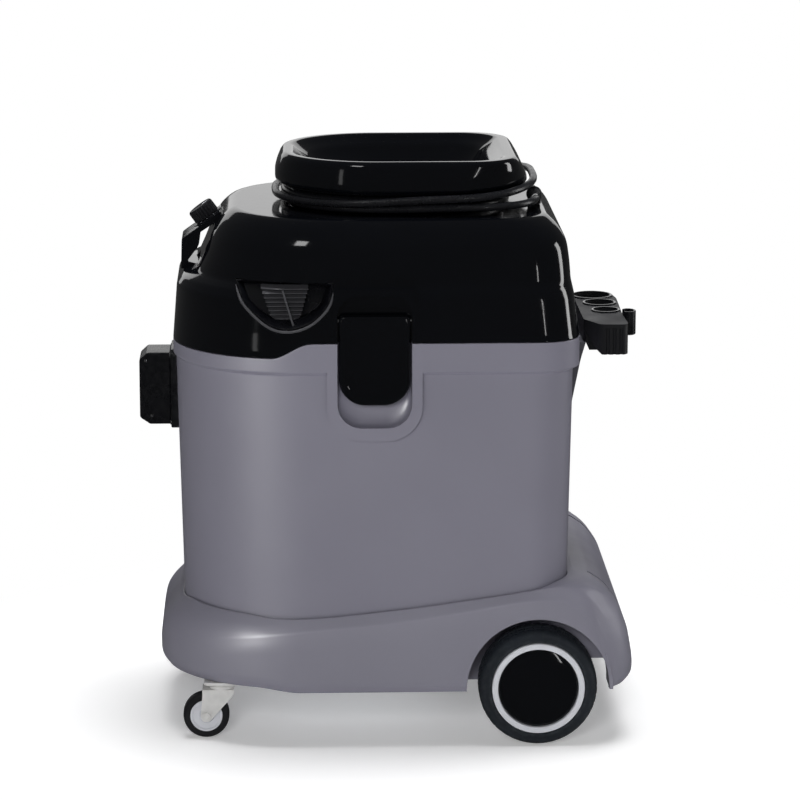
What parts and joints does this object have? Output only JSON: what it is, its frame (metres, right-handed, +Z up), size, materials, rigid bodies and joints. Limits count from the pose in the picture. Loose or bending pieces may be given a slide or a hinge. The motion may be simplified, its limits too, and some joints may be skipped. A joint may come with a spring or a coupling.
{
  "type": "spot extractor",
  "caption": "Wheeled spray-extraction machine: D-plan grey tank on a trolley with rear wheels and front casters, black motor head, side latches, cord wound under a top ring, rear tool holder.",
  "frame": {"origin": "middle of the machine's outline (cord left out), on the floor", "axes": "+Z up; +X from the hose inlet towards the tool holder; +Y towards the machine's right"},
  "size_m": [0.5428, 0.3994, 0.624],
  "materials": {
    "tank_grey": "satin moulded polyethylene",
    "trolley_grey": "satin moulded polypropylene",
    "gloss_black": "gloss black moulding",
    "black_plastic": "dull black moulding",
    "dark_grey": "dull dark grey moulding",
    "tyre_rubber": "dull blue-black rubber",
    "light_grey": "light grey moulding",
    "zinc_steel": "zinc-plated steel",
    "caster_tread": "black tread",
    "natural_plastic": "milky blow-moulded plastic",
    "motor_metal": "spun metal",
    "brass": "turned brass",
    "foam": "open-cell foam",
    "seal_rubber": "soft black seal",
    "cord_rubber": "black cable sheath",
    "float_plastic": "orange plastic"
  },
  "bodies": {
    "chassis": {"trolley_base": "trolley_grey", "rear_axle": "zinc_steel", "axle_washer_left": "zinc_steel", "axle_washer_right": "zinc_steel", "recovery_tank": "tank_grey", "inlet_flange": "black_plastic", "inlet_housing": "gloss_black", "hose_socket": "black_plastic", "inlet_deflector": "black_plastic", "solution_coupling": "brass", "holder_bracket": "dark_grey", "tool_holder": "gloss_black", "holder_clip": "black_plastic", "caster_plate_left": "zinc_steel", "caster_plate_right": "zinc_steel", "solution_tank": "natural_plastic", "solution_pump": "black_plastic"},
    "head": {"head_cover": "gloss_black", "vent_grille_left": "black_plastic", "vent_grille_right": "black_plastic", "tank_gasket": "seal_rubber", "head_base": "black_plastic", "vacuum_motor": "motor_metal", "exhaust_foam": "foam", "motor_baffle": "black_plastic", "float_cage": "light_grey", "top_ring": "gloss_black", "control_console": "gloss_black", "latch_pin_left": "zinc_steel", "latch_pin_right": "zinc_steel", "cord_gland": "seal_rubber", "cord_winding": "cord_rubber", "cord_lead": "cord_rubber", "cord_tail": "cord_rubber", "cord_plug": "cord_rubber"},
    "knob": {"control_knob": "black_plastic"},
    "latch_left": {"latch_left": "gloss_black"},
    "latch_right": {"latch_right": "gloss_black"},
    "wheel_left": {"rear_tyre_left": "tyre_rubber", "rear_rim_left": "light_grey", "hub_cap_left": "gloss_black"},
    "wheel_right": {"rear_tyre_right": "tyre_rubber", "rear_rim_right": "light_grey", "hub_cap_right": "gloss_black"},
    "swivel_left": {"caster_fork_left": "zinc_steel", "caster_axle_left": "zinc_steel"},
    "swivel_right": {"caster_fork_right": "zinc_steel", "caster_axle_right": "zinc_steel"},
    "caster_wheel_left": {"caster_wheel_left": "caster_tread"},
    "caster_wheel_right": {"caster_wheel_right": "caster_tread"},
    "rotor": {"motor_rotor": "motor_metal"},
    "float": {"float_ball": "float_plastic"}
  },
  "joints": [
    {"name": "head_lift", "type": "slide", "parent": "chassis", "child": "head", "axis": [0, 0, 1], "range_m": [0, 0.25]},
    {"name": "latch_left_swing", "type": "hinge", "parent": "head", "child": "latch_left", "pos_m": [-0.0169, -0.183, 0.466], "axis": [-1, 0, 0], "range_deg": [0, 60]},
    {"name": "latch_right_swing", "type": "hinge", "parent": "head", "child": "latch_right", "pos_m": [-0.0169, 0.183, 0.466], "axis": [1, 0, 0], "range_deg": [0, 60]},
    {"name": "knob_turn", "type": "hinge", "parent": "head", "child": "knob", "pos_m": [-0.195, 0, 0.5479], "axis": [-0.5833, 0, 0.8123], "range_deg": [0, 270]},
    {"name": "rear_wheel_left_roll", "type": "hinge", "parent": "chassis", "child": "wheel_left", "pos_m": [0.1586, -0.174, 0.064], "axis": [0, 1, 0], "continuous": true},
    {"name": "rear_wheel_right_roll", "type": "hinge", "parent": "chassis", "child": "wheel_right", "pos_m": [0.1586, 0.174, 0.064], "axis": [0, 1, 0], "continuous": true},
    {"name": "caster_left_swivel", "type": "hinge", "parent": "chassis", "child": "swivel_left", "pos_m": [-0.1824, -0.146, 0.056], "axis": [0, 0, 1], "continuous": true},
    {"name": "caster_right_swivel", "type": "hinge", "parent": "chassis", "child": "swivel_right", "pos_m": [-0.1824, 0.146, 0.056], "axis": [0, 0, 1], "continuous": true},
    {"name": "caster_left_roll", "type": "hinge", "parent": "swivel_left", "child": "caster_wheel_left", "pos_m": [-0.1994, -0.146, 0.025], "axis": [0, 1, 0], "continuous": true},
    {"name": "caster_right_roll", "type": "hinge", "parent": "swivel_right", "child": "caster_wheel_right", "pos_m": [-0.1994, 0.146, 0.025], "axis": [0, 1, 0], "continuous": true},
    {"name": "motor_spin", "type": "hinge", "parent": "head", "child": "rotor", "pos_m": [0.0036, 0, 0.48], "axis": [0, 0, 1], "continuous": true},
    {"name": "float_rise", "type": "slide", "parent": "head", "child": "float", "axis": [0, 0, 1], "range_m": [0, 0.016]}
  ]
}
